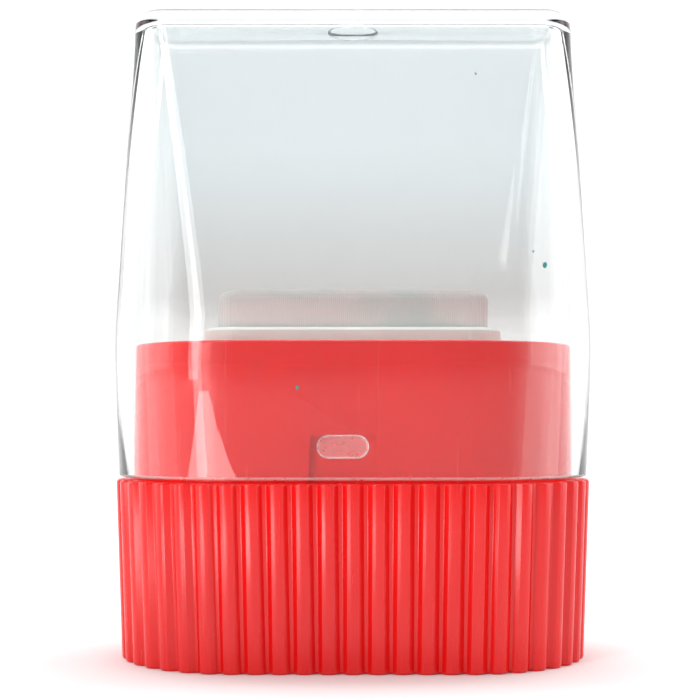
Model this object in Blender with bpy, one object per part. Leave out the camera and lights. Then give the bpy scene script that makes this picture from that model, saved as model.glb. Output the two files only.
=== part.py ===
"""Small ink pad: a ribbed grip body with a raised cloth pad under a tall clear lift-off cover.

The frame is +Z up with the origin at the middle of the underside, the wide front facing -Y.
The body is one red moulding, a ribbed grip below and a smooth neck above, open at both ends.
A base plate closes it from below over an ink reservoir, and a pad tray plugs its neck.
The pad (foam under a cloth, held down by a frame) stands on the tray and draws ink through a
felt wick. The clear cover slides down over the neck, stands on the grip's ledge and latches
in two shallow pockets.
"""

import math

import bmesh
import bpy
from mathutils import Vector

MM = 0.001
CLEARANCE = 0.3 * MM        # gap kept between neighbouring pieces
REST_GAP = 0.1 * MM         # gap under a piece that rests on another
OVERCUT = 1 * MM            # how far a cutter, or a joined shape's root, runs past the face
CORNER_STEPS = 10           # facets in each rounded corner of an outline
BEND_STEPS = 4              # facets in each rounded edge or bend
CROWN_STEPS = 3             # facets from the pad's edge to its crown

# Grip: the ribbed lower part of the body, slightly narrower at its foot.
GRIP_WIDTH = 50.0 * MM
GRIP_DEPTH = 29.0 * MM
GRIP_CORNER = 14.0 * MM
GRIP_HEIGHT = 18.5 * MM
GRIP_DRAFT = 0.75 * MM      # how far each side leans in over the grip's height
GRIP_FOOT_BEVEL = 0.3 * MM
RIBS = 54
RIB_TOP = 1.15 * MM         # width of a rib's flat crest
RIB_GROOVE = 0.65 * MM      # depth of the groove between two ribs
GROOVE_FLOOR_HEAD = 0.36 * MM   # width of the groove's floor at the ledge
GROOVE_FLOOR_FOOT = 0.12 * MM   # and at the foot, where it runs out

# Neck: the smooth upper part of the body, inside the cover's collar.
NECK_WIDTH = 46.6 * MM
NECK_DEPTH = 25.2 * MM
NECK_CORNER = 12.2 * MM
NECK_TOP = 32.5 * MM
NECK_DRAFT = 0.2 * MM
NECK_WALL = 1.4 * MM
RIM_BEVEL = 0.25 * MM

# Shelf inside the neck that carries the tray.
SHELF_LOW = 26.6 * MM
SHELF_HIGH = 27.9 * MM
SHELF_REACH = 1.2 * MM

# Latch: a pocket in the neck's front and back, and a bump inside the cover for each.
LATCH_X = -1.0 * MM         # off the middle, the other way on the back
POCKET_WIDTH = 6.6 * MM
POCKET_TOP = 23.2 * MM
POCKET_DEPTH = 0.5 * MM
BUMP_WIDTH = 5.1 * MM
BUMP_HEIGHT = 2.3 * MM
BUMP_Z = 22.1 * MM
BUMP_GAP = 0.05 * MM        # between a bump's tip and the neck that it slides along

# Cover: a straight collar around the neck, then a wedge whose wide walls lean in to a narrow top.
WALL = 1.2 * MM
WALL_HEAD = 1.8 * MM        # the leaning walls thicken towards the top
COVER_MOUTH_Z = GRIP_HEIGHT + CLEARANCE
COVER_MOUTH_WIDTH = 49.4 * MM
COVER_MOUTH_DEPTH = 28.4 * MM
COVER_MOUTH_CORNER = 13.7 * MM
SHOULDER_Z = 32.7 * MM
SHOULDER_BLEND = 2.5 * MM   # height over which the collar turns into the wedge, each way
COVER_WIDTH = 50.5 * MM
COVER_DEPTH = 29.5 * MM
COVER_CORNER = 14.0 * MM
COVER_TOP = 67.9 * MM
TOP_WIDTH = 46.0 * MM
TOP_DEPTH = 12.0 * MM
TOP_CORNER = 3.0 * MM
TOP_EDGE = 1.7 * MM         # radius of the edge around the top
TOP_WALL = 2.0 * MM
CEILING_EDGE = 0.5 * MM     # radius of the edge around the ceiling inside
GATE_RADIUS = 2.7 * MM      # round dimple in the top, where the moulding was fed
GATE_DEPTH = 0.5 * MM

# Base plate, flush with the grip's foot.
PLATE = 1.6 * MM
PLATE_SEAT_WIDTH = 45.2 * MM
PLATE_SEAT_DEPTH = 24.0 * MM
PLATE_SEAT_CORNER = 12.0 * MM
PLATE_SKIRT = 1.0 * MM
RESERVOIR_LOW = 4.3 * MM

# Pad, centred on the tray.
TRAY_LOW = 28.4 * MM
TRAY_WALL = 1.2 * MM
WELL_FLOOR = 29.6 * MM
WELL_WIDTH = 28.4 * MM
WELL_DEPTH = 17.0 * MM
WELL_CORNER = 2.6 * MM
SLOT_WIDTH = 2.0 * MM
SLOT_LENGTH = 11.0 * MM
SLOT_PITCH = 8.5 * MM
FRAME_RIM = 1.0 * MM        # how far the frame reaches outside the well
FRAME_HEIGHT = 1.4 * MM
FRAME_BEVEL = 0.3 * MM
CLOTH = 0.35 * MM
CLOTH_WIDTH = 27.8 * MM
CLOTH_DEPTH = 16.4 * MM
CLOTH_CORNER = 2.3 * MM
CLOTH_TOP = 38.5 * MM       # crown of the pad, at its middle
CLOTH_SHOULDER = 1.3 * MM   # radius of the pad's upper edge
CLOTH_CROWN = 0.5 * MM      # how much the middle stands above that edge
PAD_GAP = 0.15 * MM         # between foam, cloth and frame


def clear_scene():
    for obj in list(bpy.data.objects):
        bpy.data.objects.remove(obj, do_unlink=True)


def plastic(name, colour, roughness, alpha=1.0):
    material = bpy.data.materials.new(name)
    material.use_nodes = True
    shader = material.node_tree.nodes["Principled BSDF"]
    shader.inputs["Base Color"].default_value = (*colour, 1.0)
    shader.inputs["Roughness"].default_value = roughness
    shader.inputs["Metallic"].default_value = 0.0
    shader.inputs["Alpha"].default_value = alpha
    material.diffuse_color = (*colour, alpha)
    return material


# ---------------------------------------------------------------- outlines

def outline(width, depth, corner, steps=CORNER_STEPS):
    """A rounded rectangle seen from above, anticlockwise from its front right corner."""
    points = []
    for turn, (side_x, side_y) in enumerate(((1, -1), (1, 1), (-1, 1), (-1, -1))):
        centre_x = side_x * (width / 2 - corner)
        centre_y = side_y * (depth / 2 - corner)
        for step in range(steps + 1):
            angle = math.radians(90) * (turn - 1 + step / steps)
            points.append((centre_x + corner * math.cos(angle),
                           centre_y + corner * math.sin(angle)))
    return points


def perimeter(width, depth, corner):
    return 2 * (width + depth - 4 * corner) + 2 * math.pi * corner


def along_outline(distance, width, depth, corner):
    """The point and outward normal that far round a rounded rectangle from its front middle."""
    left = distance % perimeter(width, depth, corner)
    front, side, arc = width - 2 * corner, depth - 2 * corner, math.pi / 2 * corner
    start = Vector((0.0, -depth / 2))
    heading = 0.0
    for run in (front / 2, side, front, side, front / 2):
        forward = Vector((math.cos(heading), math.sin(heading)))
        normal = Vector((forward.y, -forward.x))
        if left <= run:
            return start + forward * left, normal
        left -= run
        start += forward * run
        centre = start - normal * corner
        if left <= arc:
            angle = heading - math.pi / 2 + left / corner
            normal = Vector((math.cos(angle), math.sin(angle)))
            return centre + normal * corner, normal
        left -= arc
        heading += math.pi / 2
        start = centre + forward * corner
    return start, normal


def ribbed_outline(width, depth, corner, groove_floor):
    """The grip's section: flat-topped ribs at an even pitch, one of them in the front middle."""
    pitch = perimeter(width, depth, corner) / RIBS
    crest = RIB_TOP / 2
    foot = (pitch - groove_floor) / 2
    points = []
    for rib in range(RIBS):
        for offset, drop in ((-foot, RIB_GROOVE), (-crest, 0.0),
                             (crest, 0.0), (foot, RIB_GROOVE)):
            point, normal = along_outline(rib * pitch + offset, width, depth, corner)
            point = point - normal * drop
            points.append((point.x, point.y))
    return points


# ---------------------------------------------------------------- solids

def loft(name, sections, material=None):
    """A closed solid through (height, outline) sections of equal point count, ends capped."""
    mesh = bmesh.new()
    rings = [[mesh.verts.new((x, y, z)) for x, y in points] for z, points in sections]
    count = len(rings[0])
    for low, high in zip(rings, rings[1:]):
        for i in range(count):
            j = (i + 1) % count
            mesh.faces.new((low[i], low[j], high[j], high[i]))
    mesh.faces.new(list(reversed(rings[0])))
    mesh.faces.new(rings[-1])
    bmesh.ops.recalc_face_normals(mesh, faces=mesh.faces)
    data = bpy.data.meshes.new(name)
    mesh.to_mesh(data)
    mesh.free()
    obj = bpy.data.objects.new(name, data)
    bpy.context.scene.collection.objects.link(obj)
    if material:
        data.materials.append(material)
        data.shade_smooth()
        data.set_sharp_from_angle(angle=math.radians(30))
    return obj


def block(name, low, high, width, depth, corner, material=None):
    """An upright rounded block."""
    return loft(name, [(low, outline(width, depth, corner)),
                       (high, outline(width, depth, corner))], material)


def box(name, low, high, material=None):
    """A plain box between two corners."""
    points = [(low[0], low[1]), (high[0], low[1]), (high[0], high[1]), (low[0], high[1])]
    return loft(name, [(low[2], points), (high[2], points)], material)


def as_helper(obj):
    obj.hide_render = True
    obj.display_type = "WIRE"
    return obj


def combine(target, helper, operation):
    modifier = target.modifiers.new(helper.name, "BOOLEAN")
    modifier.operation = operation
    modifier.solver = "EXACT"
    modifier.object = as_helper(helper)


def cut(target, helper):
    combine(target, helper, "DIFFERENCE")


def join(target, helper):
    combine(target, helper, "UNION")


# ---------------------------------------------------------------- body

def grip_section(height, inset=0.0):
    """The ribbed section at a height, leaning in towards the foot."""
    share = height / GRIP_HEIGHT
    lean = 2 * (GRIP_DRAFT * (1 - share) + inset)
    groove_floor = GROOVE_FLOOR_FOOT + (GROOVE_FLOOR_HEAD - GROOVE_FLOOR_FOOT) * share
    return height, ribbed_outline(GRIP_WIDTH - lean, GRIP_DEPTH - lean,
                                  GRIP_CORNER - lean / 2, groove_floor)


def neck_section(height, inset=0.0):
    """The neck's section at a height above the ledge."""
    share = (height - GRIP_HEIGHT) / (NECK_TOP - GRIP_HEIGHT)
    lean = 2 * (NECK_DRAFT * share + inset)
    return height, outline(NECK_WIDTH - lean, NECK_DEPTH - lean, NECK_CORNER - lean / 2)


def bore_size(reach=0.0):
    """Width, depth and corner of the body's bore, less a reach inwards."""
    inset = NECK_DRAFT + NECK_WALL + reach
    return NECK_WIDTH - 2 * inset, NECK_DEPTH - 2 * inset, NECK_CORNER - inset


def body_cavity():
    seat = outline(PLATE_SEAT_WIDTH, PLATE_SEAT_DEPTH, PLATE_SEAT_CORNER)
    bore, shelf = outline(*bore_size()), outline(*bore_size(SHELF_REACH))
    seat_top = PLATE + CLEARANCE
    return loft("body_cavity", [(-OVERCUT, seat), (seat_top, seat), (seat_top, bore),
                                (SHELF_LOW, bore), (SHELF_LOW, shelf),
                                (SHELF_HIGH, shelf), (SHELF_HIGH, bore),
                                (NECK_TOP + OVERCUT, bore)])


def latch_pocket(side):
    """Cutter for the pocket on one face of the neck: side -1 is the front, 1 the back."""
    middle = -side * LATCH_X
    face = NECK_DEPTH / 2
    near, far = face - NECK_DRAFT - POCKET_DEPTH, face + OVERCUT
    ys = sorted((side * near, side * far))
    low = (middle - POCKET_WIDTH / 2, ys[0], GRIP_HEIGHT + REST_GAP)
    high = (middle + POCKET_WIDTH / 2, ys[1], POCKET_TOP)
    return box(f"latch_pocket_{'front' if side < 0 else 'back'}", low, high)


def make_body(material):
    body = loft("grip_body", [grip_section(0.0, GRIP_FOOT_BEVEL),
                              grip_section(GRIP_FOOT_BEVEL),
                              grip_section(GRIP_HEIGHT)], material)
    join(body, loft("neck", [neck_section(GRIP_HEIGHT - OVERCUT),
                             neck_section(NECK_TOP - RIM_BEVEL),
                             neck_section(NECK_TOP, RIM_BEVEL)]))
    cut(body, body_cavity())
    for side in (-1, 1):
        cut(body, latch_pocket(side))
    return body


def make_base_plate(material):
    """The closing plate, with a locating skirt and two cross ribs under the reservoir."""
    seat = (PLATE_SEAT_WIDTH - 2 * CLEARANCE, PLATE_SEAT_DEPTH - 2 * CLEARANCE,
            PLATE_SEAT_CORNER - CLEARANCE)
    plate = block("base_plate", 0.0, PLATE, *seat, material)
    skirt = [size - 2 * CLEARANCE for size in bore_size()[:2]]
    corner = bore_size()[2] - CLEARANCE
    top = RESERVOIR_LOW - CLEARANCE
    low = PLATE / 2
    ring = block("plate_skirt", low, top, *skirt, corner)
    cut(ring, block("plate_hollow", PLATE, top + OVERCUT, skirt[0] - 2 * PLATE_SKIRT,
                    skirt[1] - 2 * PLATE_SKIRT, corner - PLATE_SKIRT))
    join(plate, ring)
    for share in (-1, 1):
        x = share * skirt[0] / 6
        reach = skirt[1] / 2 - PLATE_SKIRT / 2
        join(plate, box(f"plate_rib_{share}", (x - PLATE_SKIRT / 2, -reach, low),
                        (x + PLATE_SKIRT / 2, reach, top)))
    return plate


# ---------------------------------------------------------------- ink feed

def make_reservoir(material):
    """The foam block that stores the ink, between the base plate and the shelf."""
    width, depth, corner = bore_size(2 * CLEARANCE)
    return block("ink_reservoir", RESERVOIR_LOW, SHELF_LOW - CLEARANCE,
                 width, depth, corner, material)


def slot_centres():
    return [index * SLOT_PITCH for index in (-1, 0, 1)]


def make_wick(material):
    """A felt slab on the reservoir, with a tongue up through each slot in the tray."""
    width, depth, corner = bore_size(SHELF_REACH + 2 * CLEARANCE)
    low, high = SHELF_LOW - REST_GAP, TRAY_LOW - CLEARANCE
    wick = block("ink_wick", low, high, width, depth, corner, material)
    across, along = SLOT_WIDTH / 2 - CLEARANCE, SLOT_LENGTH / 2 - CLEARANCE
    for index, x in enumerate(slot_centres()):
        join(wick, box(f"wick_tongue_{index}", (x - across, -along, (low + high) / 2),
                       (x + across, along, WELL_FLOOR + REST_GAP)))
    return wick


# ---------------------------------------------------------------- pad

def make_tray(material):
    """The insert in the neck: a deck flush with the rim, a well for the pad, cored ends."""
    width, depth, corner = (size - 2 * CLEARANCE for size in bore_size())
    tray = block("pad_tray", TRAY_LOW, NECK_TOP, width, depth, corner + CLEARANCE, material)
    cut(tray, block("pad_well", WELL_FLOOR, NECK_TOP + OVERCUT,
                    WELL_WIDTH, WELL_DEPTH, WELL_CORNER))
    for index, x in enumerate(slot_centres()):
        cut(tray, box(f"wick_slot_{index}",
                      (x - SLOT_WIDTH / 2, -SLOT_LENGTH / 2, TRAY_LOW - OVERCUT),
                      (x + SLOT_WIDTH / 2, SLOT_LENGTH / 2, NECK_TOP + OVERCUT)))
    inner, outer = WELL_WIDTH / 2 + TRAY_WALL, width / 2 - TRAY_WALL
    for side in (-1, 1):
        xs = sorted((side * inner, side * outer))
        cut(tray, box(f"tray_core_{side}", (xs[0], -depth / 4, TRAY_LOW - OVERCUT),
                      (xs[1], depth / 4, NECK_TOP - TRAY_WALL)))
    return tray


def make_frame(material):
    """The ring round the pad's foot, resting on the deck."""
    low = NECK_TOP + REST_GAP
    high = low + FRAME_HEIGHT
    bevel = FRAME_BEVEL
    width, depth, corner = (WELL_WIDTH + 2 * FRAME_RIM, WELL_DEPTH + 2 * FRAME_RIM,
                            WELL_CORNER + FRAME_RIM)
    frame = loft("pad_frame", [(low, outline(width, depth, corner)),
                               (high - bevel, outline(width, depth, corner)),
                               (high, outline(width - 2 * bevel, depth - 2 * bevel,
                                              corner - bevel))], material)
    cut(frame, block("frame_opening", low - OVERCUT, high + OVERCUT,
                     CLOTH_WIDTH + 2 * PAD_GAP, CLOTH_DEPTH + 2 * PAD_GAP,
                     CLOTH_CORNER + PAD_GAP))
    return frame


def pad_dome(inset, foot):
    """Sections of the crowned pad, a given distance inside the cloth's outer face."""
    width, depth = CLOTH_WIDTH - 2 * inset, CLOTH_DEPTH - 2 * inset
    corner, radius = CLOTH_CORNER - inset, CLOTH_SHOULDER - inset
    edge = CLOTH_TOP - CLOTH_CROWN - inset
    sections = [(foot, outline(width, depth, corner))]
    for step in range(BEND_STEPS + 1):
        angle = math.radians(90) * step / BEND_STEPS
        lean = radius * (1 - math.cos(angle))
        sections.append((edge - radius * (1 - math.sin(angle)),
                         outline(width - 2 * lean, depth - 2 * lean, corner - lean / 2)))
    for step in range(1, CROWN_STEPS + 1):
        share = step / (CROWN_STEPS + 1)
        lean = radius + share * (depth / 2 - radius)
        sections.append((edge + CLOTH_CROWN * math.sin(math.radians(90) * share),
                         outline(width - 2 * lean, depth - 2 * lean,
                                 (corner - radius / 2) * (1 - share))))
    return sections


def make_foam(material):
    return loft("pad_foam", pad_dome(CLOTH + PAD_GAP, WELL_FLOOR + CLEARANCE), material)


def make_cloth(material):
    """The cloth over the foam, its edge tucked down into the well."""
    foot = WELL_FLOOR + 3 * CLEARANCE
    inner = list(reversed(pad_dome(CLOTH, foot)))
    return loft("pad_cloth", inner + pad_dome(0.0, foot), material)


# ---------------------------------------------------------------- cover

def between(low, high, share):
    return tuple(a + (b - a) * share for a, b in zip(low, high))


def collar_size(z):
    """Outer width, depth and corner of the straight collar at a height."""
    share = (z - COVER_MOUTH_Z) / (SHOULDER_Z - COVER_MOUTH_Z)
    return between((COVER_MOUTH_WIDTH, COVER_MOUTH_DEPTH, COVER_MOUTH_CORNER),
                   (COVER_WIDTH, COVER_DEPTH, COVER_CORNER), share)


def wedge_size(z):
    """Outer width, depth and corner of the leaning walls at a height."""
    share = (z - SHOULDER_Z) / (COVER_TOP - SHOULDER_Z)
    return between((COVER_WIDTH, COVER_DEPTH, COVER_CORNER),
                   (TOP_WIDTH, TOP_DEPTH, TOP_CORNER), share)


def inset_outline(size, inset):
    width, depth, corner = size
    return outline(width - 2 * inset, depth - 2 * inset, corner - inset)


def outer_face(z):
    """How far the cover's outer face lies inside its outline: not at all."""
    return 0.0


def inner_face(z):
    """How far the cover's inner face lies inside its outline at a height."""
    share = max(0.0, (z - SHOULDER_Z) / (COVER_TOP - SHOULDER_Z))
    return WALL + (WALL_HEAD - WALL) * share


def shoulder_sections(face):
    """The bend between collar and wedge, as a parabola that meets both of them smoothly."""
    low, high = SHOULDER_Z - SHOULDER_BLEND, SHOULDER_Z + SHOULDER_BLEND
    sections = []
    for step in range(BEND_STEPS + 1):
        share = step / BEND_STEPS
        first = between(collar_size(low), collar_size(SHOULDER_Z), share)
        second = between(wedge_size(SHOULDER_Z), wedge_size(high), share)
        size = between(first, second, share)
        z = low + (high - low) * share
        sections.append((z, inset_outline(size, face(z))))
    return sections


def rounded_top(radius, face, height):
    """Sections that turn the leaning walls into a flat top, with an edge of that radius."""
    sections = []
    for step in range(BEND_STEPS + 1):
        angle = math.radians(90) * step / BEND_STEPS
        z = height - radius * (1 - math.sin(angle))
        lean = radius * (1 - math.cos(angle))
        sections.append((z, inset_outline(wedge_size(z), face(z) + lean)))
    return sections


def cover_skin(face, edge, height):
    """One face of the cover, outer or inner, from its mouth up to its closed end."""
    mouth = (COVER_MOUTH_Z, inset_outline(collar_size(COVER_MOUTH_Z), face(COVER_MOUTH_Z)))
    return [mouth, *shoulder_sections(face), *rounded_top(edge, face, height)]


def make_cover(material):
    inside = cover_skin(inner_face, CEILING_EDGE, COVER_TOP - TOP_WALL)
    outside = cover_skin(outer_face, TOP_EDGE, COVER_TOP)
    cover = loft("clear_cover", list(reversed(inside)) + outside, material)
    cut(cover, round_cutter("gate_dimple", GATE_RADIUS, COVER_TOP - GATE_DEPTH,
                            COVER_TOP + GATE_DEPTH))
    for side in (-1, 1):
        join(cover, latch_bump(side))
    return cover


def round_cutter(name, radius, low, high):
    facets = 32
    circle = [(radius * math.cos(math.tau * i / facets), radius * math.sin(math.tau * i / facets))
              for i in range(facets)]
    return loft(name, [(low, circle), (high, circle)])


def latch_bump(side):
    """A pill-shaped bump on the collar's inner face, just clear of the neck as it slides."""
    tip = NECK_DEPTH / 2 + BUMP_GAP
    root = COVER_MOUTH_DEPTH / 2 - WALL / 2
    pill = outline(BUMP_WIDTH, BUMP_HEIGHT, 0.99 * BUMP_HEIGHT / 2, 2 * BEND_STEPS)
    name = f"latch_bump_{'front' if side < 0 else 'back'}"
    bump = loft(name, [(tip, pill), (root, pill)])
    for vertex in bump.data.vertices:
        x, z, y = vertex.co
        vertex.co = (x - side * LATCH_X, side * y, z + BUMP_Z)
    mesh = bmesh.new()
    mesh.from_mesh(bump.data)
    bmesh.ops.recalc_face_normals(mesh, faces=mesh.faces)
    mesh.to_mesh(bump.data)
    mesh.free()
    return bump


def main():
    clear_scene()
    red = plastic("red_plastic", (0.80, 0.03, 0.03), 0.3)
    clear = plastic("clear_plastic", (0.93, 0.97, 0.97), 0.05, 0.25)
    white = plastic("white_plastic", (0.82, 0.84, 0.82), 0.45)
    cloth = plastic("pad_cloth", (0.70, 0.68, 0.66), 0.9)
    foam = plastic("foam", (0.55, 0.62, 0.62), 0.95)
    felt = plastic("felt", (0.62, 0.66, 0.64), 0.95)
    make_body(red)
    make_base_plate(red)
    make_reservoir(foam)
    make_wick(felt)
    make_tray(red)
    make_frame(white)
    make_foam(foam)
    make_cloth(cloth)
    make_cover(clear)


main()
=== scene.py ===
"""The finished look of the small ink pad: ribbed red grip, raised cloth pad, tall clear cover.

Every piece stands where its CAD node stands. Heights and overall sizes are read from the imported
frame; the corner radii and the small edges below give the shapes between them.
"""

import math

import bmesh
import bpy
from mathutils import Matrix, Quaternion, Vector, noise


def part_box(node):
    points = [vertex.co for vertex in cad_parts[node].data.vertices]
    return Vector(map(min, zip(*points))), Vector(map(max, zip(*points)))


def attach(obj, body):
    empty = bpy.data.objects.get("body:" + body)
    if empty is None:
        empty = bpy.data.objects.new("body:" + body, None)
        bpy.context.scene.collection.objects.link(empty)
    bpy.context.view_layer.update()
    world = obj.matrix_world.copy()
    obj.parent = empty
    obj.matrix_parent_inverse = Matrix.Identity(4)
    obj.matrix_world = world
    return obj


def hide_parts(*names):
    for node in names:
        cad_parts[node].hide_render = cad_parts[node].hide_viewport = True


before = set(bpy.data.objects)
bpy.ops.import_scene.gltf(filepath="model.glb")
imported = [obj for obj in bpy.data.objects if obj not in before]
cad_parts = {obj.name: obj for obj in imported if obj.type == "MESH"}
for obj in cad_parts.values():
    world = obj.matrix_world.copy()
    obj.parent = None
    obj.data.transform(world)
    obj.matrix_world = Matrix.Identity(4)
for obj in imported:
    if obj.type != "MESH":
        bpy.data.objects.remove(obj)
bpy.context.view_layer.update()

MM = 0.001
CORNER_STEPS = 26           # facets in each rounded corner of a smooth outline
ARC_STEPS = 8               # facets in each rounded edge

# Sizes read from the frame.
GRIP_LOW, GRIP_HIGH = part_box("grip_body")
COVER_LOW, COVER_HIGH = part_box("clear_cover")
CLOTH_LOW, CLOTH_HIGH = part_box("pad_cloth")
FOAM_LOW, FOAM_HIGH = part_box("pad_foam")
STORE_LOW, STORE_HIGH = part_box("ink_reservoir")
WICK_LOW, WICK_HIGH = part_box("ink_wick")

# Grip and neck.
GRIP_WIDTH = GRIP_HIGH.x - GRIP_LOW.x
GRIP_DEPTH = GRIP_HIGH.y - GRIP_LOW.y
GRIP_CORNER = 14.0 * MM
GRIP_DRAFT = 0.75 * MM
RIBS = 54
RIB_TOP = 1.10 * MM
RIB_GROOVE = 0.65 * MM
GROOVE_FLOOR_HEAD = 0.42 * MM
GROOVE_FLOOR_FOOT = 0.30 * MM
GROOVE_SKEW = 0.10 * MM     # the grooves' bottoms stray sideways towards the foot
GROOVE_EDGE = 0.20 * MM     # rounding of the grooves' bottoms
CREST_CROWN = 0.10 * MM     # bulge of each crest
CREST_EDGE = 0.15 * MM      # rounding of the crests' edges
LEDGE = COVER_LOW.z - 0.3 * MM
LEDGE_EDGE = 0.3 * MM
FOOT_EDGE = 0.3 * MM
NECK_WIDTH, NECK_DEPTH, NECK_CORNER = 46.6 * MM, 25.2 * MM, 12.2 * MM
NECK_TOP = GRIP_HIGH.z
NECK_DRAFT = 0.2 * MM
NECK_WALL = 1.4 * MM
RIM_EDGE = 0.3 * MM
SEAT_WIDTH, SEAT_DEPTH, SEAT_CORNER = 45.2 * MM, 24.0 * MM, 12.0 * MM
SEAT_TOP = 1.9 * MM
SHELF_LOW, SHELF_HIGH, SHELF_REACH = 26.6 * MM, 27.9 * MM, 1.2 * MM

# Latch.
LATCH_X = -1.0 * MM
POCKET_HEAD, POCKET_FOOT = 6.3 * MM, 6.8 * MM
POCKET_TOP = 23.2 * MM
POCKET_DEPTH = 0.5 * MM
BUMP_WIDTH, BUMP_HEIGHT, BUMP_Z = 5.1 * MM, 2.3 * MM, 22.1 * MM
BUMP_TIP = 12.65 * MM       # distance of a bump's tip from the middle plane

# Cover.
WALL = 1.2 * MM
WALL_HEAD = 1.8 * MM        # the leaning walls thicken towards the top
MOUTH = (49.4 * MM, 28.4 * MM, 13.7 * MM)
SHOULDER = (50.5 * MM, 29.5 * MM, 14.0 * MM)
TOP = (46.0 * MM, 12.0 * MM, 3.0 * MM)
SHOULDER_Z = 32.7 * MM
SHOULDER_BLEND = 2.5 * MM
WEDGE_STEPS = 14
TOP_EDGE = 1.7 * MM
TOP_WALL = 2.0 * MM
CEILING_EDGE = 0.5 * MM
LIP_EDGE = 0.28 * MM
GATE_RADIUS, GATE_DEPTH = 2.7 * MM, 0.5 * MM
LIP_BAND = 0.34 * MM

# Painted shade on the cover: its tint darkens downwards over the window and ends above the neck,
# where the tint is painted lighter.
SHADE_STARTS, SHADE_FULL = 52 * MM, 38 * MM
SHADE_THINS, SHADE_ENDS = 37 * MM, 34.5 * MM
# Painted highlight on the cover's narrow sides: where it starts and where it is full.
SIDE_HIGHLIGHT_STARTS, SIDE_HIGHLIGHT_FULL = 19.5 * MM, 22.0 * MM

# Pad and ink feed.
CLOTH_CORNER = 2.3 * MM
CLOTH_ROUND = 1.3 * MM      # rounding of its top edge
CLOTH_CROWN = 0.5 * MM
CLOTH_THICKNESS = 0.3 * MM
THREAD_PITCH = 0.32 * MM
INNER_GAP = 0.6 * MM        # round the sponge and the wick, inside the neck
WICK_SLAB_TOP = 28.1 * MM
TONGUE_HALF_WIDTH, TONGUE_HALF_LENGTH, TONGUE_PITCH = 0.7 * MM, 5.2 * MM, 8.5 * MM

# Camera.
LENS, SENSOR = 73.7, 36.0
CAMERA_DISTANCE = 139 * MM  # from the grip's front
CAMERA_SIDE, CAMERA_HEIGHT = -0.3 * MM, 24.5 * MM
CAMERA_TILT = 2.86          # degrees upwards
LAMP_AIM = (0.0, 0.0, 0.034)

# Dried ink on the cover's front: across, up, size.
SPECKS = ((18.9 * MM, 39.9 * MM, 0.22 * MM), (-5.4 * MM, 27.8 * MM, 0.16 * MM),
          (17.8 * MM, 41.3 * MM, 0.09 * MM), (12.6 * MM, 60.2 * MM, 0.10 * MM))


# ---------------------------------------------------------------- outlines

def outline(width, depth, corner, steps=CORNER_STEPS):
    """A rounded rectangle seen from above, anticlockwise from its front right corner."""
    points = []
    for turn, (side_x, side_y) in enumerate(((1, -1), (1, 1), (-1, 1), (-1, -1))):
        centre_x = side_x * (width / 2 - corner)
        centre_y = side_y * (depth / 2 - corner)
        for step in range(steps + 1):
            angle = math.radians(90) * (turn - 1 + step / steps)
            points.append((centre_x + corner * math.cos(angle),
                           centre_y + corner * math.sin(angle)))
    return points


def shrink(size, inset):
    """A (width, depth, corner) taken in by the same amount all round."""
    width, depth, corner = size
    return width - 2 * inset, depth - 2 * inset, corner - inset


def inset_outline(size, inset):
    """The rounded rectangle of a size, taken in by the same amount all round."""
    return outline(*shrink(size, inset))


def perimeter(width, depth, corner):
    """Length round a rounded rectangle."""
    return 2 * (width + depth - 4 * corner) + 2 * math.pi * corner


def along_outline(distance, width, depth, corner):
    """The point and outward normal that far round a rounded rectangle from its front middle."""
    left = distance % perimeter(width, depth, corner)
    front, side, arc = width - 2 * corner, depth - 2 * corner, math.pi / 2 * corner
    start = Vector((0.0, -depth / 2))
    heading = 0.0
    for run in (front / 2, side, front, side, front / 2):
        forward = Vector((math.cos(heading), math.sin(heading)))
        normal = Vector((forward.y, -forward.x))
        if left <= run:
            return start + forward * left, normal
        left -= run
        start += forward * run
        centre = start - normal * corner
        if left <= arc:
            angle = heading - math.pi / 2 + left / corner
            normal = Vector((math.cos(angle), math.sin(angle)))
            return centre + normal * corner, normal
        left -= arc
        heading += math.pi / 2
        start = centre + forward * corner
    return start, normal


def fillet(before, corner, after, radius, steps):
    """Points of an arc that rounds one corner of a 2-D path."""
    a, b, c = Vector(before), Vector(corner), Vector(after)
    u, v = (a - b).normalized(), (c - b).normalized()
    half = u.angle(v) / 2
    reach = radius / math.tan(half)
    centre = b + (u + v).normalized() * radius / math.sin(half)
    first, last = b + u * reach - centre, b + v * reach - centre
    turn = first.angle_signed(last)
    points = []
    for step in range(steps + 1):
        angle = turn * step / steps
        cos, sin = math.cos(angle), math.sin(angle)
        # mathutils measures a signed angle clockwise
        points.append((centre.x + first.x * cos + first.y * sin,
                       centre.y - first.x * sin + first.y * cos))
    return points


# ---------------------------------------------------------------- meshes

def make_object(name, mesh, material=None, sharp=35):
    """A smooth-shaded object from a finished mesh, with edges sharper than an angle kept."""
    data = bpy.data.meshes.new(name)
    mesh.to_mesh(data)
    mesh.free()
    obj = bpy.data.objects.new(name, data)
    bpy.context.scene.collection.objects.link(obj)
    if material:
        data.materials.append(material)
    data.shade_smooth()
    data.set_sharp_from_angle(angle=math.radians(sharp))
    return obj


def loft(name, sections, material=None, ends="capped"):
    """A solid through (height, outline) sections of equal point count.

    Its ends are capped, or joined to each other where the sections run round in a loop."""
    mesh = bmesh.new()
    rings = [[mesh.verts.new((x, y, z)) for x, y in points] for z, points in sections]
    count = len(rings[0])
    pairs = list(zip(rings, rings[1:]))
    if ends == "looped":
        pairs.append((rings[-1], rings[0]))
    for low, high in pairs:
        for i in range(count):
            j = (i + 1) % count
            mesh.faces.new((low[i], low[j], high[j], high[i]))
    if ends == "capped":
        mesh.faces.new(list(reversed(rings[0])))
        mesh.faces.new(rings[-1])
    bmesh.ops.recalc_face_normals(mesh, faces=mesh.faces)
    return make_object(name, mesh, material)


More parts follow.
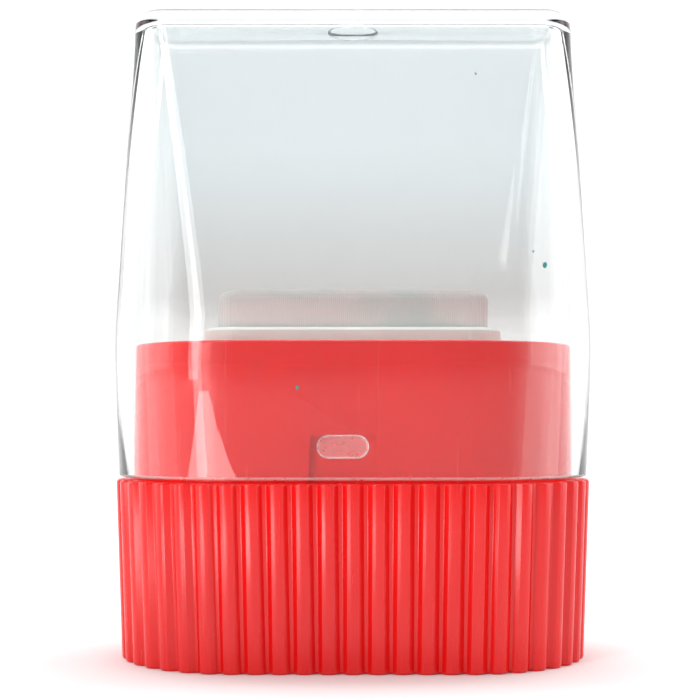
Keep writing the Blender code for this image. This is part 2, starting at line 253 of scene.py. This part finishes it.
def combine(target, helper, operation, sharp=35):
    """Cuts a helper from a piece, or joins it on, for good."""
    modifier = target.modifiers.new(helper.name, "BOOLEAN")
    modifier.operation = operation
    modifier.solver = "EXACT"
    modifier.object = helper
    modifier.material_mode = "TRANSFER"
    depsgraph = bpy.context.evaluated_depsgraph_get()
    data = bpy.data.meshes.new_from_object(target.evaluated_get(depsgraph))
    target.modifiers.clear()
    target.data = data
    data.shade_smooth()
    data.set_sharp_from_angle(angle=math.radians(sharp))
    bpy.data.objects.remove(helper)


def quarter(steps=ARC_STEPS):
    """Sine and cosine pairs through a quarter turn."""
    turns = [math.radians(90) * step / steps for step in range(steps + 1)]
    return [(math.sin(turn), math.cos(turn)) for turn in turns]


def between(low, high, share):
    """A tuple part of the way from one tuple to another."""
    return tuple(a + (b - a) * share for a, b in zip(low, high))


# ---------------------------------------------------------------- material nodes

def new_material(name):
    """A node material, its tree and its main shader."""
    material = bpy.data.materials.new(name)
    material.use_nodes = True
    return material, material.node_tree, material.node_tree.nodes["Principled BSDF"]


def add(tree, kind, **inputs):
    """A node with some of its inputs set, or linked where the value is a socket."""
    made = tree.nodes.new(kind)
    for name, value in inputs.items():
        feed(tree, made.inputs[name.replace("_", " ")], value)
    return made


def feed(tree, target, value):
    """Sets an input, or links it where the value is a socket."""
    if isinstance(value, bpy.types.NodeSocket):
        tree.links.new(value, target)
    else:
        target.default_value = value


def place(tree, scale):
    """Object coordinates stretched by a scale along each axis."""
    coordinates = tree.nodes.new("ShaderNodeTexCoord")
    mapping = add(tree, "ShaderNodeMapping", Vector=coordinates.outputs["Object"])
    mapping.inputs["Scale"].default_value = scale
    return mapping.outputs["Vector"]


def speckle(tree, scale, detail=2.0, rough=0.5):
    """Fine noise over the object, scaled along each axis."""
    made = add(tree, "ShaderNodeTexNoise", Vector=place(tree, scale), Scale=1.0,
               Detail=detail, Roughness=rough)
    return made.outputs["Fac"]


def span(tree, value, low, high, to_low, to_high):
    """A value carried from one range to another, and held at its ends."""
    made = add(tree, "ShaderNodeMapRange", Value=value)
    made.inputs["From Min"].default_value = low
    made.inputs["From Max"].default_value = high
    made.inputs["To Min"].default_value = to_low
    made.inputs["To Max"].default_value = to_high
    return made.outputs["Result"]


def blend_colour(tree, share, first, second):
    """A mix of two colours."""
    made = tree.nodes.new("ShaderNodeMix")
    made.data_type = "RGBA"
    feed(tree, made.inputs[0], share)
    feed(tree, made.inputs[6], first)
    feed(tree, made.inputs[7], second)
    return made.outputs[2]


def bump(tree, height, strength, distance, under=None):
    """A normal raised by a height, on top of another normal if one is given."""
    made = add(tree, "ShaderNodeBump", Height=height, Strength=strength, Distance=distance)
    if under:
        tree.links.new(under, made.inputs["Normal"])
    return made.outputs["Normal"]


def red_plastic():
    """Glossy moulded red, with uneven colour, faint flow streaks up the ribs and fine grain."""
    material, tree, shader = new_material("red_plastic")
    cloud = speckle(tree, (90, 90, 40), 3)
    streak = speckle(tree, (1500, 1500, 45), 3)
    grain = speckle(tree, (2600, 2600, 2600), 2)
    deep, fresh = (0.78, 0.004, 0.005, 1), (0.84, 0.007, 0.006, 1)
    colour = blend_colour(tree, span(tree, cloud, 0.35, 0.65, 0, 1), deep, fresh)
    feed(tree, shader.inputs["Base Color"], colour)
    feed(tree, shader.inputs["Roughness"], span(tree, streak, 0.3, 0.7, 0.15, 0.28))
    waves = bump(tree, speckle(tree, (160, 160, 60), 2), 0.5, 0.00012)
    lines = bump(tree, streak, 0.25, 0.00002, waves)
    feed(tree, shader.inputs["Normal"], bump(tree, grain, 0.12, 0.00001, lines))
    shader.inputs["IOR"].default_value = 1.55
    return material


def see_through(tree, shader, tint):
    """Lets lamps through the clear plastic, so that what it covers is lit."""
    output = tree.nodes["Material Output"]
    paths = tree.nodes.new("ShaderNodeLightPath")
    open_air = add(tree, "ShaderNodeBsdfTransparent", Color=tint)
    mixed = tree.nodes.new("ShaderNodeMixShader")
    tree.links.new(paths.outputs["Is Shadow Ray"], mixed.inputs["Fac"])
    tree.links.new(shader.outputs[0], mixed.inputs[1])
    tree.links.new(open_air.outputs[0], mixed.inputs[2])
    tree.links.new(mixed.outputs[0], output.inputs["Surface"])


def clear_plastic():
    """Clear polystyrene with moulding waves and hairline scratches. Painted shade darkens its
    tint downwards over the window above the neck, the tint is painted lighter over the neck, and
    a painted highlight lightens its narrow sides."""
    material, tree, shader = new_material("clear_plastic")
    where = add(tree, "ShaderNodeSeparateXYZ", Vector=place(tree, (1, 1, 1)))
    # Painted shade: the tint darkens downwards over the window, full just above the pad.
    painted_shade = span(tree, where.outputs["Z"], SHADE_STARTS, SHADE_FULL, 0, 1)
    tint = blend_colour(tree, painted_shade, (0.83, 0.865, 0.875, 1), (0.745, 0.74, 0.735, 1))
    # Below the painted shade, over the neck, the tint is painted lighter.
    foot = span(tree, where.outputs["Z"], SHADE_THINS, SHADE_ENDS, 0, 1)
    tint = blend_colour(tree, foot, tint, (0.89, 0.885, 0.88, 1))
    # Painted highlight: the cover's narrow sides are painted lighter, nearly white.
    side = add(tree, "ShaderNodeMath", Value=where.outputs["X"])
    side.operation = "ABSOLUTE"
    rim = span(tree, side.outputs["Value"], SIDE_HIGHLIGHT_STARTS, SIDE_HIGHLIGHT_FULL, 0, 1)
    feed(tree, shader.inputs["Base Color"], blend_colour(tree, rim, tint, (0.97, 0.99, 0.99, 1)))
    shader.inputs["Transmission Weight"].default_value = 1.0
    shader.inputs["IOR"].default_value = 1.5
    haze = speckle(tree, (120, 120, 90), 4, 0.6)
    feed(tree, shader.inputs["Roughness"], span(tree, haze, 0.45, 0.75, 0.015, 0.06))
    waves = bump(tree, speckle(tree, (55, 55, 75), 1), 0.6, 0.00016)
    hairs = speckle(tree, (900, 900, 60), 2)
    scratched = span(tree, hairs, 0.66, 0.70, 0, 1)
    feed(tree, shader.inputs["Normal"], bump(tree, scratched, 0.15, 0.000012, waves))
    see_through(tree, shader, (0.93, 0.96, 0.97, 1))
    return material


def frosted_plastic():
    """The clear plastic where the mould was left rough, on the latch bumps and the lip."""
    material, tree, shader = new_material("frosted_plastic")
    grain = speckle(tree, (1800, 1800, 1800), 2)
    milky = blend_colour(tree, grain, (0.86, 0.80, 0.78, 1), (0.97, 0.95, 0.93, 1))
    feed(tree, shader.inputs["Base Color"], milky)
    shader.inputs["Transmission Weight"].default_value = 0.82
    shader.inputs["IOR"].default_value = 1.5
    feed(tree, shader.inputs["Roughness"], span(tree, grain, 0.3, 0.7, 0.22, 0.5))
    feed(tree, shader.inputs["Normal"], bump(tree, grain, 0.5, 0.00005))
    see_through(tree, shader, (0.93, 0.95, 0.95, 1))
    return material


def white_plastic():
    """The pad frame's off-white plastic, with a trace of ink green."""
    material, tree, shader = new_material("white_plastic")
    cloud = speckle(tree, (300, 300, 300), 3)
    colour = blend_colour(tree, cloud, (0.70, 0.79, 0.74, 1), (0.80, 0.84, 0.80, 1))
    feed(tree, shader.inputs["Base Color"], colour)
    grain = speckle(tree, (2200, 2200, 2200), 2)
    feed(tree, shader.inputs["Roughness"], span(tree, grain, 0.3, 0.7, 0.35, 0.5))
    feed(tree, shader.inputs["Normal"], bump(tree, grain, 0.15, 0.00002))
    return material


def thread_pattern(tree, pitch):
    """Height of a plain weave: two crossed sets of threads that pass over and under."""
    turns = 1 / pitch
    made = []
    for axis in ("X", "Y"):
        wave = add(tree, "ShaderNodeTexWave", Vector=place(tree, (turns,) * 3), Scale=0.5)
        wave.bands_direction = axis
        wave.inputs["Distortion"].default_value = 0.6
        made.append(wave.outputs["Fac"])
    product = tree.nodes.new("ShaderNodeMath")
    product.operation = "MULTIPLY"
    tree.links.new(made[0], product.inputs[0])
    tree.links.new(made[1], product.inputs[1])
    return product.outputs[0]


def pad_cloth_material():
    """Fine off-white cloth with a teal trace of ink."""
    material, tree, shader = new_material("pad_cloth")
    weave = thread_pattern(tree, THREAD_PITCH)
    stain = span(tree, speckle(tree, (95, 95, 95), 3), 0.52, 0.70, 0, 0.55)
    plain = blend_colour(tree, weave, (0.68, 0.61, 0.59, 1), (0.82, 0.75, 0.73, 1))
    inked = blend_colour(tree, stain, plain, (0.40, 0.56, 0.53, 1))
    feed(tree, shader.inputs["Base Color"], inked)
    shader.inputs["Roughness"].default_value = 0.9
    shader.inputs["Sheen Weight"].default_value = 0.2
    feed(tree, shader.inputs["Normal"], bump(tree, weave, 0.6, 0.00008))
    return material


def foam_material(name, dark, light):
    """Open-cell foam."""
    material, tree, shader = new_material(name)
    cells = add(tree, "ShaderNodeTexVoronoi", Vector=place(tree, (2400,) * 3), Scale=1.0)
    share = span(tree, cells.outputs["Distance"], 0.0, 0.6, 0, 1)
    feed(tree, shader.inputs["Base Color"], blend_colour(tree, share, dark, light))
    shader.inputs["Roughness"].default_value = 0.95
    feed(tree, shader.inputs["Normal"], bump(tree, share, 0.8, 0.00012))
    return material


def dried_ink():
    """Dark teal drops."""
    material, tree, shader = new_material("dried_ink")
    cloud = speckle(tree, (5000, 5000, 5000), 2)
    colour = blend_colour(tree, cloud, (0.01, 0.16, 0.15, 1), (0.05, 0.34, 0.31, 1))
    feed(tree, shader.inputs["Base Color"], colour)
    shader.inputs["Roughness"].default_value = 0.55
    return material


def felt_material():
    """Felt soaked with ink, its fibres lying one way."""
    material, tree, shader = new_material("felt")
    fibres = speckle(tree, (700, 2600, 1500), 5, 0.7)
    colour = blend_colour(tree, fibres, (0.34, 0.45, 0.44, 1), (0.62, 0.67, 0.64, 1))
    feed(tree, shader.inputs["Base Color"], colour)
    shader.inputs["Roughness"].default_value = 0.95
    shader.inputs["Sheen Weight"].default_value = 0.3
    feed(tree, shader.inputs["Normal"], bump(tree, fibres, 0.8, 0.0001))
    return material


# ---------------------------------------------------------------- body

def rib_profile(pitch, floor, skew):
    """One rib as (offset along the outline, depth below the crest): a crowned crest with
    rounded edges between round grooves, whose bottoms stray to one side by the skew."""
    crest = RIB_TOP / 2
    left, right = (pitch - floor) / 2 - skew, (pitch - floor) / 2 + skew
    path = [(-pitch + right, RIB_GROOVE), (-left, RIB_GROOVE), (-crest, CREST_CROWN),
            (crest, CREST_CROWN), (right, RIB_GROOVE), (pitch - left, RIB_GROOVE)]
    points = fillet(*path[0:3], GROOVE_EDGE, 4)
    points += fillet(*path[1:4], CREST_EDGE, 3)
    points += [(crest * x, CREST_CROWN * x * x) for x in (-0.6, -0.3, 0.0, 0.3, 0.6)]
    points += fillet(*path[2:5], CREST_EDGE, 3)
    points += fillet(*path[3:6], GROOVE_EDGE, 4)
    return points


def ribbed_ring(lean, height):
    """The ribbed section at a height, leaning in all round, as a section for loft."""
    share = height / LEDGE
    floor = GROOVE_FLOOR_FOOT + (GROOVE_FLOOR_HEAD - GROOVE_FLOOR_FOOT) * share
    skew = GROOVE_SKEW * (1 - share)
    size = (GRIP_WIDTH - 2 * lean, GRIP_DEPTH - 2 * lean, GRIP_CORNER - lean)
    pitch = perimeter(*size) / RIBS
    points = []
    for rib in range(RIBS):
        for offset, drop in rib_profile(pitch, floor, skew):
            point, normal = along_outline(rib * pitch + offset, *size)
            point = point - normal * drop
            points.append((point.x, point.y))
    return height, points


def smooth_ring(size, height):
    """A smooth section whose points face those of the ribbed sections."""
    pitch = perimeter(GRIP_WIDTH, GRIP_DEPTH, GRIP_CORNER) / RIBS
    step = perimeter(*size) / RIBS
    points = []
    for rib in range(RIBS):
        for offset, _ in rib_profile(pitch, GROOVE_FLOOR_HEAD, 0.0):
            point, _ = along_outline(rib * step + offset * step / pitch, *size)
            points.append((point.x, point.y))
    return height, points


def grip_rings():
    """The ribbed outside, from the foot's edge up to the ledge's edge."""
    def lean(height):
        return GRIP_DRAFT * (1 - height / LEDGE)

    rings = []
    for sin, cos in quarter(4):
        height = FOOT_EDGE * (1 - cos)
        rings.append(ribbed_ring(lean(height) + FOOT_EDGE * (1 - sin), height))
    for share in (0.25, 0.5, 0.75):
        rings.append(ribbed_ring(lean(share * LEDGE), share * LEDGE))
    for sin, cos in quarter(5):
        height = LEDGE - LEDGE_EDGE * (1 - sin)
        rings.append(ribbed_ring(lean(height) + LEDGE_EDGE * (1 - cos), height))
    return rings


def neck_rings():
    """The neck, from its root on the ledge over the rim and down inside to the foot."""
    neck = (NECK_WIDTH, NECK_DEPTH, NECK_CORNER)
    bore = shrink(neck, NECK_DRAFT + NECK_WALL)
    shelf = shrink(bore, SHELF_REACH)
    rings = [smooth_ring(shrink(neck, -0.25 * MM), LEDGE),
             smooth_ring(shrink(neck, -0.07 * MM), LEDGE + 0.07 * MM),
             smooth_ring(neck, LEDGE + 0.25 * MM)]
    for sin, cos in quarter(5):
        inset = NECK_DRAFT + RIM_EDGE * (1 - cos)
        rings.append(smooth_ring(shrink(neck, inset), NECK_TOP - RIM_EDGE * (1 - sin)))
    for sin, cos in quarter(3):
        inset = NECK_DRAFT + NECK_WALL - RIM_EDGE / 2 * (1 - sin)
        rings.append(smooth_ring(shrink(neck, inset), NECK_TOP - RIM_EDGE / 2 * (1 - cos)))
    for size, height in ((bore, SHELF_HIGH), (shelf, SHELF_HIGH), (shelf, SHELF_LOW),
                         (bore, SHELF_LOW), (bore, SEAT_TOP)):
        rings.append(smooth_ring(size, height))
    seat = (SEAT_WIDTH, SEAT_DEPTH, SEAT_CORNER)
    rings.append(smooth_ring(seat, SEAT_TOP))
    rings.append(smooth_ring(seat, 0.0))
    return rings


def latch_pocket(side):
    """Cutter for the pocket on one face of the neck, a little wider at its foot."""
    middle = -side * LATCH_X
    near = NECK_DEPTH / 2 - NECK_DRAFT - POCKET_DEPTH
    far = NECK_DEPTH / 2 + 1 * MM
    sections = []
    for height, width in ((LEDGE + 0.05 * MM, POCKET_FOOT), (POCKET_TOP, POCKET_HEAD)):
        xs = (middle - width / 2, middle + width / 2)
        sections.append((height, [(xs[0], side * near), (xs[1], side * near),
                                  (xs[1], side * far), (xs[0], side * far)]))
    return loft("latch_pocket", sections)


def make_body(material):
    """Grip and neck in one, with a latch pocket on each wide face."""
    body = loft("ribbed_body", grip_rings() + neck_rings(), material, ends="looped")
    for side in (-1, 1):
        combine(body, latch_pocket(side), "DIFFERENCE")
    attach(body, "base")
    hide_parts("grip_body")


# ---------------------------------------------------------------- cover

def collar_size(z):
    """Size of the cover's outline at a height in its collar."""
    share = (z - COVER_LOW.z) / (SHOULDER_Z - COVER_LOW.z)
    return between(MOUTH, SHOULDER, share)


def wedge_size(z):
    """Size of the cover's outline at a height in its leaning part."""
    share = (z - SHOULDER_Z) / (COVER_HIGH.z - SHOULDER_Z)
    return between(SHOULDER, TOP, share)


def outer_face(z):
    """How far the cover's outer face lies inside its outline: not at all."""
    return 0.0


def inner_face(z):
    """How far the cover's inner face lies inside its outline at a height."""
    share = max(0.0, (z - SHOULDER_Z) / (COVER_HIGH.z - SHOULDER_Z))
    return WALL + (WALL_HEAD - WALL) * share


def shoulder_sections(face):
    """The bend between collar and wedge."""
    low, high = SHOULDER_Z - SHOULDER_BLEND, SHOULDER_Z + SHOULDER_BLEND
    sections = []
    for step in range(ARC_STEPS + 1):
        share = step / ARC_STEPS
        first = between(collar_size(low), collar_size(SHOULDER_Z), share)
        second = between(wedge_size(SHOULDER_Z), wedge_size(high), share)
        size = between(first, second, share)
        z = low + (high - low) * share
        sections.append((z, inset_outline(size, face(z))))
    return sections


def cover_skin(face, lip, edge, height):
    """One face of the cover, outer or inner, from its lip up to its closed end."""
    sections = []
    for sin, cos in quarter(4):
        z = COVER_LOW.z + LIP_EDGE * (1 - cos)
        sections.append((z, inset_outline(collar_size(z), face(z) + lip * (1 - sin))))
    sections += shoulder_sections(face)
    low, high = SHOULDER_Z + SHOULDER_BLEND, height - edge
    for step in range(1, WEDGE_STEPS):
        z = low + (high - low) * step / WEDGE_STEPS
        sections.append((z, inset_outline(wedge_size(z), face(z))))
    for sin, cos in quarter():
        z = height - edge * (1 - sin)
        sections.append((z, inset_outline(wedge_size(z), face(z) + edge * (1 - cos))))
    return sections


def gate_cutter():
    """The round dimple where the moulding was fed, with a soft lower edge."""
    facets, fall = 72, 0.25 * MM
    bottom = COVER_HIGH.z - GATE_DEPTH
    rows = [(bottom + fall * (1 - cos), GATE_RADIUS - fall * (1 - sin))
            for sin, cos in quarter(5)]
    rows.append((COVER_HIGH.z + GATE_DEPTH, GATE_RADIUS))
    sections = []
    for z, radius in rows:
        sections.append((z, [(radius * math.cos(math.tau * i / facets),
                              radius * math.sin(math.tau * i / facets))
                             for i in range(facets)]))
    return loft("gate_cutter", sections)


def latch_bump(side, material):
    """A pill-shaped bump inside the collar, with a rounded face."""
    root = MOUTH[1] / 2 - WALL / 2
    rise = 0.35 * MM
    sections = [(root, 0.0)]
    sections += [(BUMP_TIP + rise * (1 - sin), rise * (1 - cos)) for sin, cos in quarter(5)]
    rings = []
    for distance, inset in sections:
        width, height = BUMP_WIDTH - 2 * inset, BUMP_HEIGHT - 2 * inset
        rings.append((distance, outline(width, height, 0.99 * height / 2, 10)))
    bump_piece = loft("latch_bump", rings, material)
    mesh = bmesh.new()
    mesh.from_mesh(bump_piece.data)
    for vertex in mesh.verts:
        x, z, y = vertex.co
        vertex.co = (x - side * LATCH_X, side * y, z + BUMP_Z)
    bmesh.ops.recalc_face_normals(mesh, faces=mesh.faces)
    mesh.to_mesh(bump_piece.data)
    mesh.free()
    return bump_piece


def frost_lip(cover):
    """Gives the ground faces of the cover's lip the frosted material."""
    for face in cover.data.polygons:
        if face.center.z < COVER_LOW.z + LIP_BAND:
            face.material_index = 1


def make_cover(material, frosted):
    """The clear cover in one, with its gate mark and latch bumps."""
    inside = cover_skin(inner_face, -LIP_EDGE, CEILING_EDGE, COVER_HIGH.z - TOP_WALL)
    outside = cover_skin(outer_face, LIP_EDGE, TOP_EDGE, COVER_HIGH.z)
    cover = loft("cover_shell", list(reversed(inside)) + outside, material)
    cover.data.materials.append(frosted)
    frost_lip(cover)
    combine(cover, gate_cutter(), "DIFFERENCE")
    for side in (-1, 1):
        combine(cover, latch_bump(side, frosted), "UNION")
    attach(cover, "cover")
    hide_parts("clear_cover")


def make_specks(material):
    """Flat dried drops of ink on the front of the cover."""
    mesh = bmesh.new()
    for across, up, size in SPECKS:
        outer = collar_size(up) if up < SHOULDER_Z else wedge_size(up)
        made = bmesh.ops.create_icosphere(mesh, subdivisions=3, radius=size)
        for vertex in made["verts"]:
            x, y, z = vertex.co
            ragged = 1 + 0.35 * noise.noise(vertex.co * 9000)
            vertex.co = (across + x * ragged, 0.22 * y - outer[1] / 2, up + 1.3 * z * ragged)
    specks = make_object("ink_specks", mesh, material)
    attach(specks, "cover")


# ---------------------------------------------------------------- pad and ink feed

def rounded_block(name, low, high, corner, edge, material, grain=0.0):
    """An upright soft block with rolled edges, its faces a little uneven."""
    size = (high.x - low.x, high.y - low.y, corner)
    sections = []
    for sin, cos in quarter(4):
        sections.append((low.z + edge * (1 - cos), inset_outline(size, edge * (1 - sin))))
    steps = 10
    for step in range(1, steps):
        z = low.z + edge + (high.z - low.z - 2 * edge) * step / steps
        sections.append((z, inset_outline(size, 0.0)))
    for sin, cos in quarter(4):
        sections.append((high.z - edge * (1 - sin), inset_outline(size, edge * (1 - cos))))
    obj = loft(name, sections, material)
    for vertex in obj.data.vertices:
        wobble = noise.noise(vertex.co * 900) * grain
        vertex.co -= vertex.normal * (grain + wobble)
    return obj


def cloth_dome(inset, foot):
    """Sections of the crowned cloth, a given distance inside its outer face."""
    width = CLOTH_HIGH.x - CLOTH_LOW.x - 2 * inset
    depth = CLOTH_HIGH.y - CLOTH_LOW.y - 2 * inset
    corner, radius, crown = CLOTH_CORNER - inset, CLOTH_ROUND - inset, CLOTH_CROWN
    edge = CLOTH_HIGH.z - crown - inset
    sections = [(foot, outline(width, depth, corner))]
    for step in range(1, 6):
        z = foot + (edge - radius - foot) * step / 6
        sections.append((z, outline(width, depth, corner)))
    for sin, cos in quarter(6):
        lean = radius * (1 - cos)
        sections.append((edge - radius * (1 - sin),
                         outline(width - 2 * lean, depth - 2 * lean, corner - lean / 2)))
    rows = 9
    for step in range(1, rows):
        share = step / rows
        lean = radius + share * (depth / 2 - radius)
        sections.append((edge + crown * math.sin(math.radians(90) * share),
                         outline(width - 2 * lean, depth - 2 * lean,
                                 (corner - radius / 2) * (1 - share) + 0.05 * MM)))
    return sections


def make_cloth(material):
    """Cloth pulled tight over the foam, and the size that it was cut to."""
    inner = list(reversed(cloth_dome(CLOTH_THICKNESS, CLOTH_LOW.z)))
    cloth = loft("stretched_cloth", inner + cloth_dome(0.0, CLOTH_LOW.z), material)
    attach(cloth, "base")
    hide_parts("pad_cloth")


def make_foam(material):
    """The pad's foam, under its cloth."""
    foam = rounded_block("foam_block", FOAM_LOW, FOAM_HIGH, 1.8 * MM, 0.8 * MM,
                         material, 0.05 * MM)
    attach(foam, "base")
    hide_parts("pad_foam")


def make_reservoir(material):
    """The foam that holds the ink, low in the grip."""
    corner = NECK_CORNER - NECK_DRAFT - NECK_WALL - INNER_GAP
    store = rounded_block("reservoir_sponge", STORE_LOW, STORE_HIGH, corner, 0.7 * MM,
                          material, 0.06 * MM)
    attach(store, "base")
    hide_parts("ink_reservoir")


def make_wick(material):
    """A felt slab on the reservoir, with tongues up through the tray."""
    corner = NECK_CORNER - NECK_DRAFT - NECK_WALL - SHELF_REACH - INNER_GAP
    slab_high = Vector((WICK_HIGH.x, WICK_HIGH.y, WICK_SLAB_TOP))
    wick = rounded_block("felt_wick", WICK_LOW, slab_high, corner, 0.3 * MM, material)
    for index in (-1, 0, 1):
        middle = index * TONGUE_PITCH
        low = Vector((middle - TONGUE_HALF_WIDTH, -TONGUE_HALF_LENGTH, WICK_LOW.z + 0.6 * MM))
        high = Vector((middle + TONGUE_HALF_WIDTH, TONGUE_HALF_LENGTH, WICK_HIGH.z))
        tongue = rounded_block(f"tongue_{index}", low, high, 0.5 * MM, 0.25 * MM, material)
        combine(wick, tongue, "UNION")
    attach(wick, "base")
    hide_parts("ink_wick")


# ---------------------------------------------------------------- studio

def make_sweep():
    """A pale floor that curves up into the backdrop."""
    near, bend, radius, height, half = -1.2, 0.82, 0.08, 1.6, 1.8
    path = [(near, 0.0), (bend, 0.0)]
    path += [(bend + radius * sin, radius * (1 - cos)) for sin, cos in quarter(16)[1:]]
    path.append((bend + radius, height))
    mesh = bmesh.new()
    rows = [[mesh.verts.new((x, y, z)) for x in (-half, half)] for y, z in path]
    for low, high in zip(rows, rows[1:]):
        mesh.faces.new((low[0], low[1], high[1], high[0]))
    material, _, shader = new_material("pale_floor")
    shader.inputs["Base Color"].default_value = (0.93, 0.93, 0.93, 1)
    shader.inputs["Roughness"].default_value = 0.9
    sweep = make_object("sweep", mesh, material)


def softbox(name, place_at, aim_at, width, height, glow, lean=0.0):
    """A rectangular lamp of a given brightness, whatever its size, leaning by some degrees."""
    light = bpy.data.lights.new(name, "AREA")
    light.shape = "RECTANGLE"
    light.size, light.size_y = width, height
    light.energy = 4 * glow * width * height
    obj = bpy.data.objects.new(name, light)
    bpy.context.scene.collection.objects.link(obj)
    obj.location = place_at
    aim = (Vector(aim_at) - Vector(place_at)).to_track_quat("-Z", "Y")
    obj.rotation_euler = (aim @ Quaternion((0, 0, 1), math.radians(lean))).to_euler()
    return obj


def make_world():
    """Soft room light, even all round."""
    world = bpy.data.worlds.new("studio")
    world.use_nodes = True
    background = world.node_tree.nodes["Background"]
    background.inputs["Color"].default_value = (0.45, 0.45, 0.45, 1)
    background.inputs["Strength"].default_value = 1.0
    bpy.context.scene.world = world


def make_lights():
    """Strips at the front left, tent walls at the sides, and light from above and behind.

    The strip on the floor and the two back walls are hidden from the camera itself, and still
    show in reflections and through the clear cover."""
    softbox("tall_strip", (-0.285, -0.345, 0.20), LAMP_AIM, 0.075, 0.56, 4.2, lean=-10)
    hidden = [softbox("floor_strip", (-0.105, -0.150, 0.002), (-0.105, -0.150, 1.0),
                      0.045, 0.24, 4.2, lean=35)]
    softbox("left_wall", (-0.62, -0.08, 0.22), LAMP_AIM, 0.40, 0.44, 0.7)
    softbox("right_wall", (0.60, -0.10, 0.22), LAMP_AIM, 0.50, 0.44, 1.2)
    for name, across in (("left_back", -0.50), ("right_back", 0.50)):
        hidden.append(softbox(name, (across, 0.28, 0.20), LAMP_AIM, 0.75, 0.55, 0.5))
    softbox("overhead", (0.05, 0.0, 0.60), LAMP_AIM, 0.50, 0.50, 0.6)
    softbox("backdrop", (0.0, 0.30, 1.15), (0.0, 0.90, 0.35), 1.6, 0.4, 3.8)
    for lamp in hidden:
        lamp.visible_camera = False


def make_camera():
    """In front of the wide side, a little below its middle, tilted slightly up."""
    camera = bpy.data.cameras.new("camera")
    camera.lens, camera.sensor_width = LENS, SENSOR
    camera.clip_start = 0.01
    obj = bpy.data.objects.new("camera", camera)
    bpy.context.scene.collection.objects.link(obj)
    obj.location = (CAMERA_SIDE, GRIP_LOW.y - CAMERA_DISTANCE, CAMERA_HEIGHT)
    obj.rotation_euler = (math.radians(90 + CAMERA_TILT), 0.0, 0.0)
    bpy.context.scene.camera = obj


def dress(node, material):
    """Gives a CAD node that stays as it is a new material."""
    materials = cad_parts[node].data.materials
    materials.clear()
    materials.append(material)


def main():
    red = red_plastic()
    make_body(red)
    dress("base_plate", red)
    dress("pad_tray", red)
    dress("pad_frame", white_plastic())
    make_cover(clear_plastic(), frosted_plastic())
    make_specks(dried_ink())
    foam = foam_material("foam", (0.30, 0.40, 0.40, 1), (0.60, 0.66, 0.65, 1))
    make_foam(foam)
    make_reservoir(foam)
    make_wick(felt_material())
    make_cloth(pad_cloth_material())
    make_sweep()
    make_world()
    make_lights()
    make_camera()
    bpy.context.scene.view_settings.view_transform = "Standard"


main()
